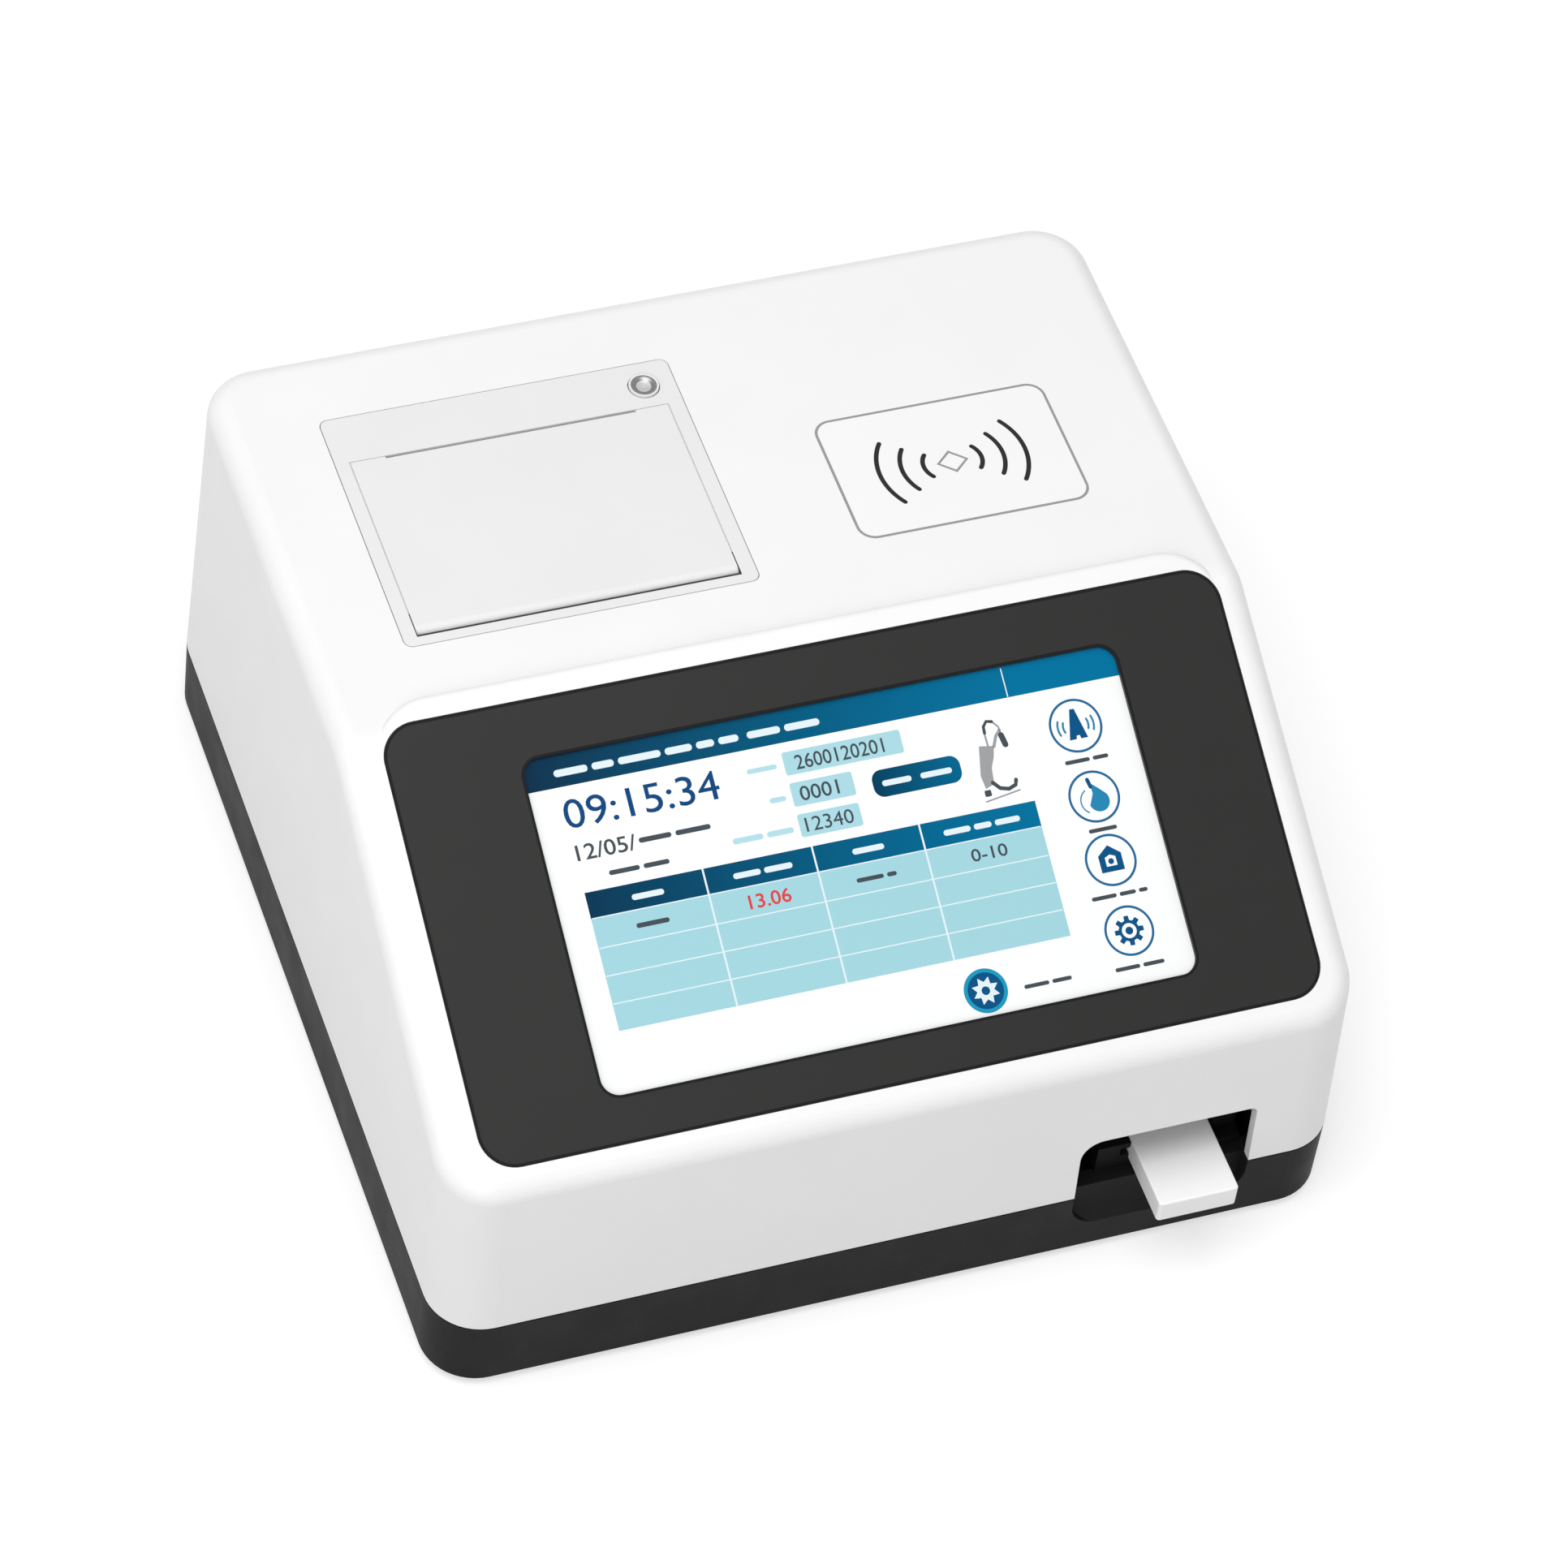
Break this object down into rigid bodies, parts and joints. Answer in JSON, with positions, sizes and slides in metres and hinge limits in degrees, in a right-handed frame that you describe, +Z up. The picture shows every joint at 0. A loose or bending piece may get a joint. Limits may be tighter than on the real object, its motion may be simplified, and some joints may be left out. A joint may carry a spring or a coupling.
{
  "type": "fluorescence immunoassay analyzer",
  "caption": "Bench test-card analyzer with a sloped touch screen, card drawer in the front wall, thermal printer and card reader pad in the deck.",
  "frame": {"origin": "centre of the whole object's footprint, on the surface it stands on", "axes": "+Z up, -Y towards the user (the drawer side), +X to the right seen from the front"},
  "size_m": [0.238, 0.252, 0.1269],
  "materials": {
    "white_housing": "satin moulded plastic",
    "dark_base": "fine textured dark plastic",
    "foot_rubber": "matt rubber",
    "screw_steel": "zinc plated",
    "surround": "charcoal satin",
    "touch_glass": "clear glass",
    "display_black": "smooth black",
    "sheet_steel": "bent sheet",
    "ribbon": "flat cable film",
    "overlay_film": "printed film",
    "circuit_board": "solder mask",
    "chip_black": "moulded chip body",
    "drawer_white": "satin moulded plastic",
    "spring_steel": "spring steel",
    "guide_black": "matt moulded plastic",
    "gear_white": "acetal",
    "shaft_steel": "ground steel",
    "motor_can": "drawn can",
    "optics_black": "black anodised",
    "heat_sink": "extruded fins",
    "filter_glass": "coated glass",
    "lens_glass": "polished glass",
    "socket_metal": "plated shell",
    "printer_white": "satin moulded plastic",
    "platen_rubber": "ground rubber",
    "head_dark": "ceramic and resin",
    "paper": "thermal paper",
    "core_board": "wound card tube",
    "switch_black": "glossy switch plastic"
  },
  "bodies": {
    "housing": {"upper_housing": "white_housing", "base_housing": "dark_base", "rubber_feet": "foot_rubber", "housing_screws": "screw_steel", "screen_surround": "surround", "touch_panel": "touch_glass", "lcd_module": "display_black", "lcd_bracket": "sheet_steel", "lcd_screws": "screw_steel", "display_ribbon": "ribbon", "reader_overlay": "overlay_film", "antenna_board": "circuit_board", "antenna_screws": "screw_steel", "drawer_guide": "guide_black", "drawer_motor": "motor_can", "motor_bracket": "sheet_steel", "mechanism_screws": "screw_steel", "position_sensor": "chip_black", "optics_bridge": "sheet_steel", "optical_housing": "optics_black", "dichroic_mirror": "filter_glass", "objective_lens": "lens_glass", "emission_filter": "filter_glass", "excitation_filter": "filter_glass", "excitation_light": "chip_black", "light_heat_sink": "heat_sink", "detector_board": "circuit_board", "main_board": "circuit_board", "board_parts": "chip_black", "board_screws": "screw_steel", "processor": "chip_black", "dc_inlet": "chip_black", "usb_ports": "socket_metal", "network_port": "socket_metal", "printer_frame": "printer_white", "printer_screws": "screw_steel", "door_hinge_pin": "shaft_steel", "idler_axle": "shaft_steel", "printer_motor": "motor_can", "print_head": "head_dark", "head_spring": "spring_steel", "paper_holder": "printer_white", "printer_ribbon": "ribbon", "button_spring": "spring_steel", "switch_body": "switch_black"},
    "drawer": {"card_drawer": "drawer_white", "card_clip": "spring_steel"},
    "pinion": {"drive_pinion": "gear_white", "pinion_shaft": "shaft_steel"},
    "door": {"printer_door": "printer_white"},
    "platen": {"platen_roller": "platen_rubber", "platen_shaft": "shaft_steel", "platen_gear": "gear_white"},
    "idler": {"idler_gear": "gear_white"},
    "motor_gear": {"motor_gear": "gear_white"},
    "roll": {"paper_roll": "paper", "roll_core": "core_board"},
    "button": {"release_button": "printer_white"},
    "rocker": {"rocker_switch": "switch_black"}
  },
  "joints": [
    {"name": "drawer_slide", "type": "slide", "parent": "housing", "child": "drawer", "axis": [0, -1, 0], "range_m": [-0.01, 0.07]},
    {"name": "pinion_spin", "type": "hinge", "parent": "housing", "child": "pinion", "pos_m": [0.07465, -0.09, 0.01752], "axis": [1, 0, 0], "range_deg": [-106, 720]},
    {"name": "door_hinge", "type": "hinge", "parent": "housing", "child": "door", "pos_m": [-0.04725, 0.0258, 0.1208], "axis": [1, 0, 0], "range_deg": [0, 85]},
    {"name": "platen_spin", "type": "hinge", "parent": "door", "child": "platen", "pos_m": [-0.047, 0.0746, 0.1158], "axis": [1, 0, 0], "continuous": true},
    {"name": "idler_spin", "type": "hinge", "parent": "housing", "child": "idler", "pos_m": [-0.009, 0.0746, 0.10525], "axis": [1, 0, 0], "continuous": true},
    {"name": "motor_gear_spin", "type": "hinge", "parent": "housing", "child": "motor_gear", "pos_m": [-0.009, 0.081, 0.09885], "axis": [1, 0, 0], "continuous": true},
    {"name": "paper_roll_spin", "type": "hinge", "parent": "housing", "child": "roll", "pos_m": [-0.047, 0.048, 0.0953], "axis": [1, 0, 0], "continuous": true},
    {"name": "button_press", "type": "slide", "parent": "housing", "child": "button", "axis": [0, 0, -1], "range_m": [0, 0.0015], "stiffness_N_per_m": 150, "springref_m": -0.0008, "deforming": ["button_spring"]},
    {"name": "rocker_tilt", "type": "hinge", "parent": "housing", "child": "rocker", "pos_m": [0.08, 0.1204, 0.0459], "axis": [1, 0, 0], "range_deg": [-16, 0]}
  ],
  "couplings": [
    {"joint": "pinion_spin", "follows": "drawer_slide", "rad_per_m": 178.57},
    {"joint": "platen_spin", "follows": "paper_roll_spin", "ratio": 4.3182},
    {"joint": "idler_spin", "follows": "paper_roll_spin", "ratio": -3.2386},
    {"joint": "motor_gear_spin", "follows": "paper_roll_spin", "ratio": 6.4773}
  ]
}
